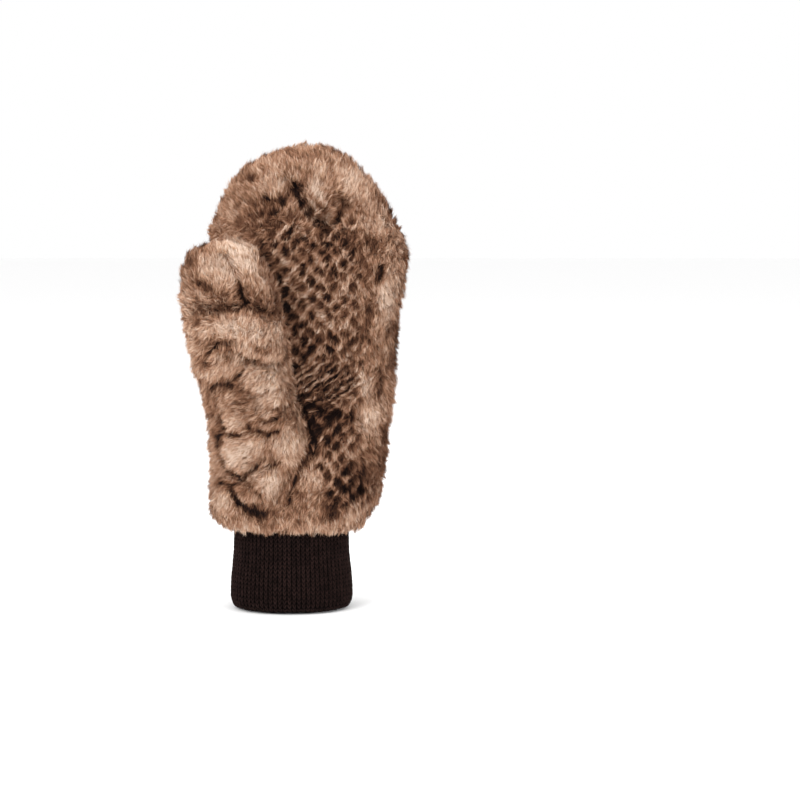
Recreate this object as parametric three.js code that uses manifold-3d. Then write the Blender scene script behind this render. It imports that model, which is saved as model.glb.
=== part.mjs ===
// Faux fur mitten for the left hand, standing on its knitted cuff with the fingers up.
// Millimetres, +Z towards the fingertips, the palm faces -Y and the thumb is on the -X side.
// The origin is the centre of the wrist opening, at the cuff's lower rim.
//
// The fur cloth is a thick wall: a knitted backing with a dense pile on it. Three cut panels make the
// hand, which are the back, the palm and the thumb with the ball of the thumb. A tubular rib cuff is
// sewn inside the hem. Each panel's outer face carries the folds of the worn mitten and small locks of
// pile, and its inner face is smooth and open to the hand.

import * as THREE from 'three';
import { mergeVertices } from 'three/addons/utils/BufferGeometryUtils.js';
import Module from 'manifold-3d';

const wasm = await Module();
wasm.setup();

// Driving dimensions
const BACKING = 2.0; // knitted backing of the fur cloth
const PILE = 9.0; // length of the pile on it
const WALL = BACKING + PILE;
const SEAM_GAP = 0.3; // between two panels, and between panel and cuff
const MITTEN_LENGTH = 265;
const HEM_BOTTOM = 45;
const CUFF_HEIGHT = 64; // as knitted, of which the hem hides the upper third
const CUFF_WALL = 3.5; // two layers of rib knit
const RIB_COUNT = 72;
const RIB_DEPTH = 1.0;
const CUFF_SQUARENESS = 2.1; // 2 is an ellipse, and more is squarer
const HAND_SQUARENESS = 2.5;
const LOCK_HEIGHT = 1.8; // how far a lock of pile stands proud of the mean surface
const LOCK_VARIETY = 0.3; // share by which one lock differs from the next
const FULL_LOCK_SPACING = 5.0; // locks closer together than this, as at the fingertips, stand lower
const HEM_LOCK = 1.6; // how far the locks at the hem hang down
const NECK_CLEARANCE = 0.7; // between the cuff and the hem round it
const SHOULDER_RISE = 4.0; // height of the shoulder in the hollow, just above the cuff
const SHOULDER_STEP = 2.0; // how far the shoulder narrows the hollow
const PALM_BOTTOM = 80; // above this the hollow follows the outer form
const PAST_THE_END = 1.0; // how far a cutting form runs past the end that it opens

// Outer form of the hand, from the hem to the fingertips. Each row is a level cross-section.
const HAND = [
  { z: HEM_BOTTOM, left: -35.0, right: 36.5, front: -27.5, back: 27.5 },
  { z: 48.0, left: -39.5, right: 41.0, front: -30.5, back: 30.0 },
  { z: 53.0, left: -43.5, right: 45.5, front: -32.5, back: 32.0 },
  { z: 60.0, left: -45.5, right: 50.0, front: -33.0, back: 32.5 },
  { z: 69.0, left: -45.6, right: 52.8, front: -32.5, back: 31.5 },
  { z: 84.0, left: -45.0, right: 54.2, front: -31.0, back: 30.0 },
  { z: 107.0, left: -45.8, right: 57.4, front: -29.5, back: 28.5 },
  { z: 130.0, left: -46.2, right: 59.6, front: -28.5, back: 27.5 },
  { z: 158.0, left: -47.0, right: 61.8, front: -27.5, back: 27.0 },
  { z: 182.0, left: -47.4, right: 65.0, front: -27.0, back: 26.5 },
  { z: 198.0, left: -47.4, right: 66.6, front: -26.5, back: 26.0 },
  { z: 214.5, left: -45.8, right: 63.4, front: -25.5, back: 25.0 },
  { z: 226.0, left: -42.3, right: 58.6, front: -24.0, back: 24.0 },
  { z: 237.0, left: -37.3, right: 52.5, front: -22.0, back: 22.0 },
  { z: 248.0, left: -30.0, right: 44.0, front: -19.0, back: 19.0 },
  { z: 257.0, left: -18.0, right: 34.6, front: -15.0, back: 15.0 },
  { z: 262.5, left: -3.0, right: 24.0, front: -9.0, back: 9.0 },
  { z: MITTEN_LENGTH, left: 10.2, right: 10.4, front: -0.1, back: 0.1 },
];

// Outer form of the thumb and of the ball of the thumb under it. Above the crotch, at about z 140,
// it stands free in front of the palm.
const THUMB = [
  { z: 44.5, left: -33.5, right: -2.7, front: -28.0, back: 8.0 },
  { z: 48.0, left: -39.5, right: -2.0, front: -31.5, back: 10.0 },
  { z: 54.0, left: -44.8, right: -1.2, front: -35.0, back: 12.0 },
  { z: 61.0, left: -46.6, right: -0.7, front: -37.0, back: 12.0 },
  { z: 70.0, left: -46.2, right: 1.2, front: -38.5, back: 12.0 },
  { z: 80.0, left: -45.4, right: 5.3, front: -40.5, back: 11.0 },
  { z: 89.0, left: -45.6, right: 10.3, front: -42.0, back: 10.0 },
  { z: 97.0, left: -45.8, right: 12.2, front: -43.5, back: 9.0 },
  { z: 106.0, left: -45.9, right: 10.7, front: -45.5, back: 8.0 },
  { z: 116.0, left: -47.2, right: 7.7, front: -48.5, back: 6.0 },
  { z: 127.0, left: -49.4, right: 4.9, front: -52.0, back: 0.0 },
  { z: 139.0, left: -51.9, right: 3.2, front: -56.0, back: -11.0 },
  { z: 150.0, left: -54.1, right: 1.8, front: -60.0, back: -19.0 },
  { z: 161.0, left: -55.9, right: 0.9, front: -62.5, back: -24.0 },
  { z: 172.5, left: -57.6, right: -1.2, front: -64.0, back: -27.5 },
  { z: 184.0, left: -59.1, right: -4.1, front: -64.5, back: -29.0 },
  { z: 193.5, left: -58.6, right: -7.9, front: -63.5, back: -29.5 },
  { z: 202.0, left: -55.2, right: -13.1, front: -60.5, back: -31.0 },
  { z: 208.5, left: -47.6, right: -18.6, front: -55.5, back: -35.0 },
  { z: 212.2, left: -32.4, right: -32.2, front: -45.1, back: -44.9 },
];

// Outer form of the cuff. It flares a little to a soft rolled rim.
const CUFF = [
  { z: 0.0, half_width: 33.2, half_depth: 25.2 },
  { z: 1.6, half_width: 34.6, half_depth: 26.6 },
  { z: 6.5, half_width: 35.2, half_depth: 27.2 },
  { z: 16.0, half_width: 34.9, half_depth: 27.0 },
  { z: 34.0, half_width: 33.3, half_depth: 26.0 },
  { z: CUFF_HEIGHT, half_width: 32.6, half_depth: 25.6 },
];

// Folds that the worn mitten shows on its palm side. Each has its depth, its half width, and its
// route as x and z, seen from the front.
const PALM_FOLDS = [
  { name: 'fingertip_dent', depth: 4.0, half: 4.5,
    route: [[-2, 244], [6, 235], [13, 223], [19, 219], [27, 224], [30, 231]] },
  { name: 'palm_fan_low', depth: 2.4, half: 4.0,
    route: [[11, 119], [27, 128], [43, 138]] },
  { name: 'palm_fan_high', depth: 1.8, half: 4.0,
    route: [[7, 122], [21, 135], [37, 148]] },
  { name: 'heel_line', depth: 1.6, half: 5.0,
    route: [[41, 111], [46, 103], [44, 89]] },
];
const THUMB_FOLDS = [
  { name: 'tip_dent', depth: 4.0, half: 4.2,
    route: [[-32, 203], [-27, 196], [-25, 188], [-24, 178]] },
  { name: 'knuckle', depth: 4.6, half: 4.2,
    route: [[-46, 172], [-34, 174], [-23, 176], [-12, 173], [-2, 170]] },
  { name: 'below_knuckle', depth: 3.0, half: 4.2,
    route: [[-52, 156], [-42, 154], [-31, 155]] },
  { name: 'root', depth: 4.0, half: 4.5,
    route: [[-35, 148], [-24, 147], [-15, 144], [-1, 141]] },
  { name: 'ball_top', depth: 2.8, half: 4.5,
    route: [[-42, 129], [-33, 131], [-24, 130], [-18, 125], [-14, 120]] },
  { name: 'ball_middle', depth: 3.0, half: 4.5,
    route: [[-39, 111], [-35, 104], [-27, 104], [-21, 107], [-10, 104]] },
  { name: 'ball_crossing', depth: 3.8, half: 4.5,
    route: [[-40, 99], [-38, 84], [-30, 80], [-23, 78], [-18, 83], [-7, 86]] },
  { name: 'above_hem', depth: 3.0, half: 4.5,
    route: [[-32, 73], [-29, 65], [-23, 58], [-15, 56]] },
];
// The back lies smooth over the hand, with two slack folds above the hem.
const BACK_FOLDS = [
  { name: 'wrist_slack', depth: 2.4, half: 6.0,
    route: [[-28, 84], [-6, 78], [18, 82]] },
  { name: 'knuckle_slack', depth: 1.8, half: 7.0,
    route: [[0, 150], [22, 158], [44, 154]] },
];

// Monotone cubic through the points (at, value), so that an outline never overshoots its table
function smoothColumn(at, value) {
  const last = at.length - 1;
  const slope = at.slice(1).map((s, k) => (value[k + 1] - value[k]) / (s - at[k]));
  const tangent = at.map((s, k) => {
    if (k === 0) return slope[0];
    if (k === last) return slope[last - 1];
    const [before, after] = [slope[k - 1], slope[k]];
    return before * after <= 0 ? 0 : (2 * before * after) / (before + after);
  });
  return (s) => {
    let k = at.findIndex((edge) => edge > s) - 1;
    if (k < 0) k = s <= at[0] ? 0 : last - 1;
    const step = at[k + 1] - at[k];
    const t = (s - at[k]) / step;
    return (
      value[k] * (1 + 2 * t) * (1 - t) ** 2 +
      value[k + 1] * t * t * (3 - 2 * t) +
      step * tangent[k] * t * (1 - t) ** 2 +
      step * tangent[k + 1] * t * t * (t - 1)
    );
  };
}

// Cross-sections at even steps along the smooth outline that runs through a table's rows
function evenSections(rows, count) {
  const halfWidth = (row) => (row.right - row.left) / 2;
  const at = [0];
  rows.slice(1).forEach((row, k) => {
    at.push(at[k] + Math.hypot(row.z - rows[k].z, halfWidth(row) - halfWidth(rows[k])));
  });
  const columns = Object.keys(rows[0]).map((name) => [
    name,
    smoothColumn(at, rows.map((row) => row[name])),
  ]);
  return Array.from({ length: count }, (_, j) => {
    const s = (at.at(-1) * j) / (count - 1);
    return Object.fromEntries(columns.map(([name, read]) => [name, read(s)]));
  });
}

// Points round a superellipse at equal steps of arc, each with its outward direction
function ringPoints({ z, left, right, front, back }, count, squareness) {
  const fine = 360;
  const [halfX, halfY] = [(right - left) / 2, (back - front) / 2];
  const [centreX, centreY] = [(right + left) / 2, (back + front) / 2];
  const curved = (value) => Math.sign(value) * Math.abs(value) ** (2 / squareness);
  const points = [];
  const arc = [0];
  for (let i = 0; i <= fine; i++) {
    const angle = (2 * Math.PI * i) / fine;
    points.push([halfX * curved(Math.cos(angle)), halfY * curved(Math.sin(angle))]);
    if (i === 0) continue;
    const [from, to] = [points[i - 1], points[i]];
    arc.push(arc[i - 1] + Math.hypot(to[0] - from[0], to[1] - from[1]));
  }
  const ring = [];
  for (let i = 0, k = 0; i < count; i++) {
    const wanted = (arc[fine] * i) / count;
    while (arc[k + 1] < wanted) k++;
    const t = (wanted - arc[k]) / (arc[k + 1] - arc[k]);
    const x = points[k][0] * (1 - t) + points[k + 1][0] * t;
    const y = points[k][1] * (1 - t) + points[k + 1][1] * t;
    const outward = new THREE.Vector3(
      (Math.sign(x) * Math.abs(x / halfX) ** (squareness - 1)) / halfX,
      (Math.sign(y) * Math.abs(y / halfY) ** (squareness - 1)) / halfY,
      0,
    ).normalize();
    ring.push({ point: new THREE.Vector3(centreX + x, centreY + y, z), outward });
  }
  return ring;
}

// How deep the folds press the pile in at a place, as seen from the front or the back
function foldDepth(folds, x, z) {
  let depth = 0;
  for (const fold of folds) {
    let nearest = Infinity;
    for (let k = 1; k < fold.route.length; k++) {
      const [[x0, z0], [x1, z1]] = [fold.route[k - 1], fold.route[k]];
      const along = ((x - x0) * (x1 - x0) + (z - z0) * (z1 - z0)) / ((x1 - x0) ** 2 + (z1 - z0) ** 2);
      const t = Math.min(1, Math.max(0, along));
      nearest = Math.min(nearest, Math.hypot(x - x0 - t * (x1 - x0), z - z0 - t * (z1 - z0)));
    }
    depth = Math.max(depth, fold.depth * Math.exp(-((nearest / fold.half) ** 2)));
  }
  return depth;
}

// A number from 0 to 1 that looks random and is the same at every build
function scatter(i, j) {
  const wild = Math.sin(12.9898 * i + 78.233 * j) * 43758.5453;
  return wild - Math.floor(wild);
}

// The outer form of a fur panel. Locks of pile stand up at every second place, and the lowest of them
// hang down as the hem. The folds press the form in. All of it can be grown by a clearance.
function furry(rows, { rings, segments, front = [], back = [] }, grow = 0) {
  const stack = evenSections(rows, rings).map((section, j) => {
    const ring = ringPoints(section, segments, HAND_SQUARENESS);
    const spacing = ring[0].point.distanceTo(ring[1].point);
    const lock = LOCK_HEIGHT * Math.min(1, spacing / FULL_LOCK_SPACING);
    const level = j === 0 || j === rings - 1;
    return ring.map(({ point, outward }, i) => {
      const raised = (i + j) % 2 ? lock * (1 - LOCK_VARIETY * scatter(i, j)) : -lock;
      const facing = Math.sqrt(Math.abs(outward.y));
      const pressed = facing * foldDepth(outward.y < 0 ? front : back, point.x, point.z);
      point.addScaledVector(outward, grow + (level ? 0 : raised - pressed));
      if (j === 0) point.z -= grow + (i % 2 ? HEM_LOCK : 0);
      if (j === rings - 1) point.z += grow;
      return point;
    });
  });
  return skinned(stack);
}

// A plain form straight from cross-section to cross-section, with ribs up it if it has any
function plain(sections, { segments, squareness, ribs = 0 }) {
  const stack = sections.map((section) =>
    ringPoints(section, segments, squareness).map(({ point, outward }, i) =>
      point.addScaledVector(outward, i % 2 ? ribs / 2 : -ribs / 2),
    ),
  );
  return skinned(stack);
}

// A solid through a stack of rings, closed by a fan at each end. Each quad is cut along the diagonal
// that joins its two low corners, so that every raised corner stands up as a lock of its own.
function skinned(stack) {
  const segments = stack[0].length;
  const faces = [];
  const at = (j, i) => j * segments + (i % segments);
  for (let j = 0; j < stack.length - 1; j++) {
    for (let i = 0; i < segments; i++) {
      const [a, b, c, d] = [at(j, i), at(j, i + 1), at(j + 1, i + 1), at(j + 1, i)];
      faces.push(...((i + j) % 2 ? [a, b, d, b, c, d] : [a, b, c, a, c, d]));
    }
  }
  const points = stack.flat();
  for (const [j, top] of [[0, false], [stack.length - 1, true]]) {
    const centre = stack[j].reduce((sum, p) => sum.add(p), new THREE.Vector3()).divideScalar(segments);
    points.push(centre);
    for (let i = 0; i < segments; i++) {
      faces.push(points.length - 1, ...(top ? [at(j, i), at(j, i + 1)] : [at(j, i + 1), at(j, i)]));
    }
  }
  const geometry = new THREE.BufferGeometry().setFromPoints(points);
  geometry.setIndex(faces);
  return solid(geometry);
}

// A closed geometry as a solid that can be joined and cut
function solid(geometry) {
  const bare = geometry.clone();
  bare.deleteAttribute('normal');
  bare.deleteAttribute('uv');
  const merged = mergeVertices(bare, 1e-4);
  return new wasm.Manifold(
    new wasm.Mesh({
      numProp: 3,
      vertProperties: merged.attributes.position.array,
      triVerts: new Uint32Array(merged.index.array),
    }),
  );
}

// The same table moved inwards by a wall's thickness, square to the outline
function inset(rows, wall) {
  return rows.map((row, k) => {
    const [before, after] = [rows[Math.max(0, k - 1)], rows[Math.min(rows.length - 1, k + 1)]];
    const rise = after.z - before.z;
    const widen = (after.right - after.left - before.right + before.left) / 2;
    const length = Math.hypot(rise, widen);
    const sideways = k === rows.length - 1 ? 0 : (wall * rise) / length;
    const upwards = k === rows.length - 1 ? wall : (-wall * widen) / length;
    return {
      z: row.z - upwards,
      left: row.left + sideways,
      right: row.right - sideways,
      front: row.front + sideways,
      back: row.back - sideways,
    };
  });
}

// A level slice of the cuff's outer form, grown by a clearance
function cuffSection(row, clearance) {
  return {
    z: row.z,
    left: -row.half_width - clearance,
    right: row.half_width + clearance,
    front: -row.half_depth - clearance,
    back: row.half_depth + clearance,
  };
}

// All that is in front of the side seams, or behind them, less half of the seam's gap
function half(front) {
  const size = 3 * MITTEN_LENGTH;
  const box = new THREE.BoxGeometry(size, size, size);
  box.translate(0, ((front ? -1 : 1) * (size + SEAM_GAP)) / 2, 0);
  return solid(box);
}

// Biggest of the bodies that a cut leaves, which drops chips at a seam
function mainBody(form) {
  return form.decompose().sort((a, b) => b.volume() - a.volume())[0];
}

// The hollow inside the fur cloth, for the hand and its thumb. A neck holds the cuff, and a shoulder
// above it narrows to the palm.
function handHollow() {
  const neck = cuffSection(CUFF.at(-1), NECK_CLEARANCE);
  const shoulder = {
    z: CUFF_HEIGHT + SHOULDER_RISE,
    left: neck.left + SHOULDER_STEP / 2,
    right: neck.right - SHOULDER_STEP / 2,
    front: neck.front + SHOULDER_STEP,
    back: neck.back - SHOULDER_STEP,
  };
  const palmAndFingers = inset(HAND, WALL).filter((row) => row.z > PALM_BOTTOM);
  const sections = [{ ...neck, z: HEM_BOTTOM - HEM_LOCK - PAST_THE_END }, neck, shoulder, ...palmAndFingers];
  return plain(sections, { segments: 24, squareness: HAND_SQUARENESS });
}

function thumbHollow() {
  const sections = inset(THUMB, WALL).filter((row) => row.z > CUFF_HEIGHT + SHOULDER_RISE);
  return plain(sections, { segments: 16, squareness: HAND_SQUARENESS });
}

const hollow = handHollow().add(thumbHollow());
const handShape = { rings: 44, segments: 52, front: PALM_FOLDS, back: BACK_FOLDS };
const thumbShape = { rings: 36, segments: 32, front: THUMB_FOLDS };
const hand = furry(HAND, handShape).subtract(hollow);
const thumb = furry(THUMB, thumbShape).subtract(hollow);
const roomForThumb = furry(THUMB, thumbShape, SEAM_GAP);

// The knitted cuff: ribs outside, smooth inside, open at both ends
function ribCuff() {
  const outerRows = CUFF.map((row) => cuffSection(row, -RIB_DEPTH / 2));
  const [rim, top] = [CUFF[0], CUFF.at(-1)].map((row) => cuffSection(row, -CUFF_WALL));
  const innerRows = [
    { ...rim, z: rim.z - PAST_THE_END },
    ...CUFF.slice(2, -1).map((row) => cuffSection(row, -CUFF_WALL)),
    { ...top, z: top.z + PAST_THE_END },
  ];
  const outside = plain(outerRows, { segments: 2 * RIB_COUNT, squareness: CUFF_SQUARENESS, ribs: RIB_DEPTH });
  const inside = plain(innerRows, { segments: RIB_COUNT / 2, squareness: CUFF_SQUARENESS });
  return outside.subtract(inside);
}

const materials = {
  back_fur: new THREE.MeshStandardMaterial({ color: 0xa98a72, roughness: 0.95, metalness: 0 }),
  palm_fur: new THREE.MeshStandardMaterial({ color: 0x7d6252, roughness: 0.95, metalness: 0 }),
  thumb_fur: new THREE.MeshStandardMaterial({ color: 0xb8977f, roughness: 0.95, metalness: 0 }),
  rib_knit: new THREE.MeshStandardMaterial({ color: 0x241c1b, roughness: 0.9, metalness: 0 }),
};

// A solid as a named mesh
function piece(name, form, material) {
  const mesh = form.getMesh();
  const geometry = new THREE.BufferGeometry();
  const width = mesh.numProp;
  const positions = new Float32Array(mesh.numVert * 3);
  for (let i = 0; i < mesh.numVert; i++) {
    positions.set(mesh.vertProperties.subarray(i * width, i * width + 3), i * 3);
  }
  geometry.setAttribute('position', new THREE.BufferAttribute(positions, 3));
  geometry.setIndex(new THREE.BufferAttribute(new Uint32Array(mesh.triVerts), 1));
  geometry.computeVertexNormals();
  const made = new THREE.Mesh(geometry, material);
  made.name = name;
  return made;
}

const mitten = new THREE.Group();
mitten.name = 'mitten';
mitten.add(
  piece('back_panel', mainBody(hand.intersect(half(false))), materials.back_fur),
  piece('palm_panel', mainBody(hand.intersect(half(true)).subtract(roomForThumb)), materials.palm_fur),
  piece('thumb_panel', mainBody(thumb.intersect(half(true))), materials.thumb_fur),
  piece('rib_cuff', ribCuff(), materials.rib_knit),
);

export default mitten;
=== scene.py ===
"""Looks of the faux fur mitten: strands of pile on a knitted backing, and a rib cuff of knitted stitches.

The cross-sections of the hand and the thumb are those of the CAD source, and the cuff's have a
rounder rim. Everything is worked out in millimetres and written to the meshes in metres, in the
frame of the CAD.
"""

import itertools
import math

import bpy
import numpy as np
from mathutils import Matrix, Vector


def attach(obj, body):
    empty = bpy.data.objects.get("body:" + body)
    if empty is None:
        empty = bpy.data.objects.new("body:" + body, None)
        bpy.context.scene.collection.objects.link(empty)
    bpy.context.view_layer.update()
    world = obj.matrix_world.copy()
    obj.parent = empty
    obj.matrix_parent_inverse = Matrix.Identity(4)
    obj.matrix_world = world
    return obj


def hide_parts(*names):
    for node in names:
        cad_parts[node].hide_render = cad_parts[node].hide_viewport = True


MM = 0.001

# Driving sizes, in millimetres
PILE_DEPTH = 3.2  # depth of loose pile over the dense undercoat
STRAND_LENGTH = 5.2
STRAND_WIDTH = 0.37
LOCK_SIZE = 1.5  # the finest group of strands, which lean and shade alike
CLUMP_SIZE = 3.2
TUFT_SIZE = 6.5
BACKING_DEPTH = 6.0  # from the tips of the pile to the outside of its backing
WALL = 11.0  # whole fur cloth, from the tips of the pile to the backing's inner face
HAND_SQUARENESS = 2.5
CUFF_SQUARENESS = 2.1
CUFF_HEIGHT = 64.0
CUFF_WALL = 3.5
RIB_COUNT = 72
COURSE_HEIGHT = 2.5  # of one row of stitches
TUBE_INSET = 1.2  # of the tube under the stitches
STITCH_INSET = 0.5
STITCH_REACH = (1.9, 46.0)  # from the lowest row of stitches to just past the highest
LEG_LENGTH = 3.5  # of one side of a knitted V
LEG_LEAN = 20.0  # in degrees from upright
HEM_BOTTOM = 45.0
NECK_CLEARANCE = 0.7
SHOULDER_RISE = 4.0
SHOULDER_STEP = 2.0
PALM_BOTTOM = 80.0

# Strands on each form and at most in one piece, and each form's tone before marks and noise, from 0,
# dark brown, to 1, cream
HAND_STRANDS = 620000
THUMB_STRANDS = 265000
PIECE_STRANDS = 190000
HAND_TONE = 0.54
THUMB_TONE = 0.60

# The camera: its place in metres, how far it looks down in degrees, and its lens in millimetres
CAMERA_AT = (0.0624, -1.2, 0.240)
CAMERA_TILT = 5.75
LENS = 95.0

# Cross-sections from the hem to the tip: z, left, right, front, back
HAND = np.array([
    (45.0, -35.0, 36.5, -27.5, 27.5),
    (48.0, -39.5, 41.0, -30.5, 30.0),
    (53.0, -43.5, 45.5, -32.5, 32.0),
    (60.0, -45.5, 50.0, -33.0, 32.5),
    (69.0, -45.6, 52.8, -32.5, 31.5),
    (84.0, -45.0, 54.2, -31.0, 30.0),
    (107.0, -45.8, 57.4, -29.5, 28.5),
    (130.0, -46.2, 59.6, -28.5, 27.5),
    (158.0, -47.0, 61.8, -27.5, 27.0),
    (182.0, -47.4, 65.0, -27.0, 26.5),
    (198.0, -47.4, 66.6, -26.5, 26.0),
    (214.5, -45.8, 63.4, -25.5, 25.0),
    (226.0, -42.3, 58.6, -24.0, 24.0),
    (237.0, -37.3, 52.5, -22.0, 22.0),
    (248.0, -30.0, 44.0, -19.0, 19.0),
    (257.0, -18.0, 34.6, -15.0, 15.0),
    (262.5, -3.0, 24.0, -9.0, 9.0),
    (265.0, 10.2, 10.4, -0.1, 0.1),
])
THUMB = np.array([
    (44.5, -33.5, -2.7, -28.0, 8.0),
    (48.0, -39.5, -2.0, -31.5, 10.0),
    (54.0, -44.8, -1.2, -35.0, 12.0),
    (61.0, -46.6, -0.7, -37.0, 12.0),
    (70.0, -46.2, 1.2, -38.5, 12.0),
    (80.0, -45.4, 5.3, -40.5, 11.0),
    (89.0, -45.6, 10.3, -42.0, 10.0),
    (97.0, -45.8, 12.2, -43.5, 9.0),
    (106.0, -45.9, 10.7, -45.5, 8.0),
    (116.0, -47.2, 7.7, -48.5, 6.0),
    (127.0, -49.4, 4.9, -52.0, 0.0),
    (139.0, -51.9, 3.2, -56.0, -11.0),
    (150.0, -54.1, 1.8, -60.0, -19.0),
    (161.0, -55.9, 0.9, -62.5, -24.0),
    (172.5, -57.6, -1.2, -64.0, -27.5),
    (184.0, -59.1, -4.1, -64.5, -29.0),
    (193.5, -58.6, -7.9, -63.5, -29.5),
    (202.0, -55.2, -13.1, -60.5, -31.0),
    (208.5, -47.6, -18.6, -55.5, -35.0),
    (212.2, -32.4, -32.2, -45.1, -44.9),
])
# The cuff's outer form: z, half width, half depth
CUFF = np.array([
    (0.0, 31.4, 23.6),
    (1.2, 33.2, 25.2),
    (3.5, 34.5, 26.5),
    (7.5, 35.2, 27.2),
    (16.0, 34.9, 27.0),
    (34.0, 33.3, 26.0),
    (CUFF_HEIGHT, 32.6, 25.6),
])

# Folds of the worn mitten: how deep they press the pile in, their half width, and their route as x
# and z, seen from the front
PALM_FOLDS = [
    dict(name="fingertip_dent", depth=4.0, half=4.5,
         route=[(-2, 244), (6, 235), (13, 223), (19, 219), (27, 224), (30, 231)]),
    dict(name="palm_fan_low", depth=2.4, half=4.0, route=[(11, 119), (27, 128), (43, 138)]),
    dict(name="palm_fan_high", depth=1.8, half=4.0, route=[(7, 122), (21, 135), (37, 148)]),
    dict(name="heel_line", depth=1.6, half=5.0, route=[(41, 111), (46, 103), (44, 89)]),
]
THUMB_FOLDS = [
    dict(name="tip_dent", depth=4.0, half=4.2, route=[(-32, 203), (-27, 196), (-25, 188), (-24, 178)]),
    dict(name="knuckle", depth=4.6, half=4.2,
         route=[(-46, 172), (-34, 174), (-23, 176), (-12, 173), (-2, 170)]),
    dict(name="below_knuckle", depth=3.0, half=4.2, route=[(-52, 156), (-42, 154), (-31, 155)]),
    dict(name="root", depth=4.0, half=4.5, route=[(-35, 148), (-24, 147), (-15, 144), (-1, 141)]),
    dict(name="ball_top", depth=2.8, half=4.5,
         route=[(-42, 129), (-33, 131), (-24, 130), (-18, 125), (-14, 120)]),
    dict(name="ball_middle", depth=3.0, half=4.5,
         route=[(-39, 111), (-35, 104), (-27, 104), (-21, 107), (-10, 104)]),
    dict(name="ball_crossing", depth=3.8, half=4.5,
         route=[(-40, 99), (-38, 84), (-30, 80), (-23, 78), (-18, 83), (-7, 86)]),
    dict(name="above_hem", depth=3.0, half=4.5, route=[(-32, 73), (-29, 65), (-23, 58), (-15, 56)]),
]
BACK_FOLDS = [
    dict(name="wrist_slack", depth=2.4, half=6.0, route=[(-28, 84), (-6, 78), (18, 82)]),
    dict(name="knuckle_slack", depth=1.8, half=7.0, route=[(0, 150), (22, 158), (44, 154)]),
]
# Marks on the front of the hand and of the thumb, where the pile is lighter or darker: name, middle
# x and z, half width, half height, clockwise turn in degrees, and change of tone
HAND_MARKS = [
    ("light_tuft_in_dent", 18, 236, 7, 10, 0, 0.34),
    ("light_tuft_left", -9, 244, 6, 6, 0, 0.26),
    ("top_light", 14, 253, 11, 5, 0, 0.16),
    ("top_right_light", 37, 245, 8, 11, -25, 0.30),
    ("right_shoulder", 51, 221, 9, 11, -15, 0.20),
    ("palm_light", 30, 198, 9, 5, 0, 0.22),
    ("right_band_light", 56, 175, 6, 13, 8, 0.30),
    ("left_margin", -34, 227, 5, 9, 15, 0.16),
    ("wisps_left", -5, 214, 6, 3, -20, 0.20),
    ("heel_light", 44, 129, 6, 8, 0, 0.26),
    ("heel_light_low", 47, 110, 7, 6, 0, 0.26),
    ("hem_light", 38, 59, 8, 6, -30, 0.22),
    ("low_light", 18, 79, 5, 8, 10, 0.14),
    ("dark_top_left", -23, 247, 5, 3, -30, -0.40),
    ("dark_dot_left", -13, 236, 2, 2, 0, -0.35),
    ("dark_crescent", -5, 236, 4, 2, 10, -0.35),
    ("dark_dent_root", 5, 242, 4, 3, 10, -0.50),
    ("mottled_band", -15, 219, 12, 13, 0, -0.20),
    # The two marks beside the thumb are painted shade where the thumb meets the hand
    ("beside_thumb", -14, 201, 5, 9, -25, -0.35),
    ("beside_thumb_low", -2, 172, 4, 15, -8, -0.25),
    ("dark_right_top", 47, 208, 3, 3, 0, -0.40),
    ("dark_right_streak", 51, 190, 2, 6, 10, -0.45),
    ("dark_lower_right", 45, 166, 3, 9, 20, -0.30),
    ("dark_blot", 41, 154, 4, 2, 0, -0.50),
    ("dark_heel", 50, 130, 3, 7, -10, -0.35),
    ("dark_dot_heel", 36, 110, 2, 3, 0, -0.40),
    ("beside_seam", 19, 112, 12, 13, 0, -0.30),
    ("low_band", 36, 77, 14, 8, -35, -0.30),
    ("dark_low", 40, 68, 4, 2, -20, -0.35),
    ("dark_low_hem", 25, 58, 3, 6, 10, -0.35),
    ("hem_dot", 6, 52, 2, 2, 0, -0.35),
    ("below_seam", 7, 91, 4, 11, 20, -0.20),
    ("hem_dark", 20, 53, 5, 2.5, -30, -0.22),
    ("hem_dark_right", 32, 61, 4, 2.5, -45, -0.18),
]
THUMB_MARKS = [
    ("pale_tip", -26, 203, 12, 10, 0, 0.36),
    ("pale_tip_left", -43, 200, 7, 4, 0, 0.20),
    ("dark_tip_side", -51, 200, 4, 4, 0, -0.40),
    ("dark_tip_band", -41, 188, 11, 3, 28, -0.36),
    ("middle_light", -21, 164, 18, 7, 0, 0.26),
    ("middle_brightest", -15, 163, 10, 6, 20, 0.12),
    ("side_brown", -49, 167, 4, 3, 0, -0.20),
    ("smudge", -14, 151, 5, 2, 20, -0.35),
    ("side_dark", -45, 143, 4, 4, 0, -0.30),
    ("upper_ball_light", -35, 139, 11, 5, -10, 0.22),
    ("ball_light_right", -9, 130, 11, 10, 30, 0.34),
    ("ball_dot", -7, 112, 3, 2, -20, -0.45),
    ("ball_light_mid", -31, 109, 6, 4, 0, 0.16),
    ("ball_light", -26, 92, 12, 8, 0, 0.36),
    ("ball_light_low_right", 1, 96, 9, 10, 0, 0.22),
    ("low_light", -10, 76, 8, 7, 20, 0.30),
    ("hem_left_light", -37, 65, 5, 6, 0, 0.22),
    ("low_dark", -20, 60, 8, 3, 20, -0.30),
    ("side_dark_low", -40, 103, 3, 5, 0, -0.35),
    ("dark_low_left", -36, 74, 7, 3, 0, -0.25),
    ("hem_dark", -12, 56, 5, 3, -20, -0.22),
]
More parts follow.
